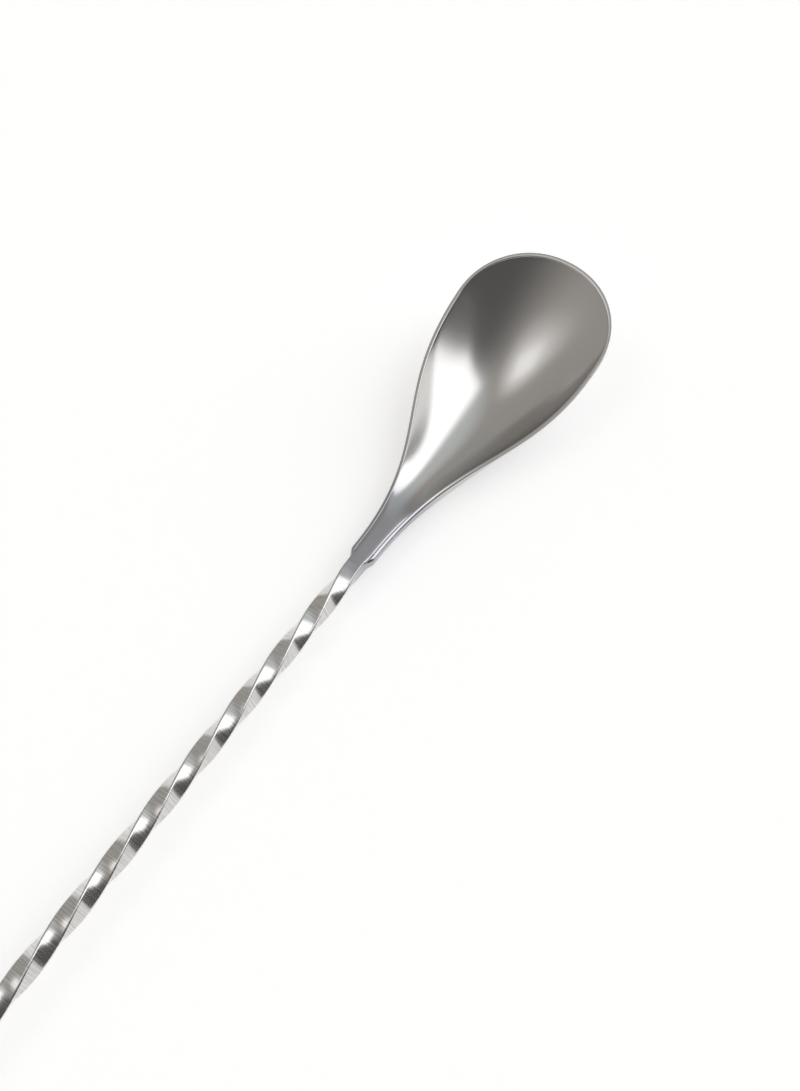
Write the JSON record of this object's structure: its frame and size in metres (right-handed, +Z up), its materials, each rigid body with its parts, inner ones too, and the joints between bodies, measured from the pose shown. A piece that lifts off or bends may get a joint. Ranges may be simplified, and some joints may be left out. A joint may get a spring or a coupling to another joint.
{
  "type": "bar spoon",
  "caption": "Long stainless bar spoon: egg-shaped bowl with a forged neck, twisted square stem and a flat muddler disc that unscrews.",
  "frame": {"origin": "on the surface the spoon lies on, under the middle of its box", "axes": "+X towards the tip of the bowl, +Y to the left of the bowl, +Z up out of the bowl; the stem's axis climbs 1.7 degrees towards -X because the disc is larger than the bowl is deep"},
  "size_m": [0.2805, 0.03, 0.02],
  "materials": {
    "bowl_steel": "satin inside, with a brighter polished rim",
    "weld_steel": "dressed weld, satin",
    "stem_steel": "polished flats with a fine cross grain",
    "ferrule_steel": "turned and polished",
    "stud_steel": "plain, rolled thread",
    "muddler_steel": "turned and satin polished"
  },
  "bodies": {
    "spoon": {"bowl": "bowl_steel", "weld_bead": "weld_steel", "twisted_stem": "stem_steel", "ferrule": "ferrule_steel", "threaded_stud": "stud_steel"},
    "muddler": {"muddler": "muddler_steel"}
  },
  "joints": [
    {"name": "muddler_unscrew", "type": "slide", "parent": "spoon", "child": "muddler", "axis": [-0.9996, 0, 0.0298], "range_m": [0, 0.008]}
  ]
}
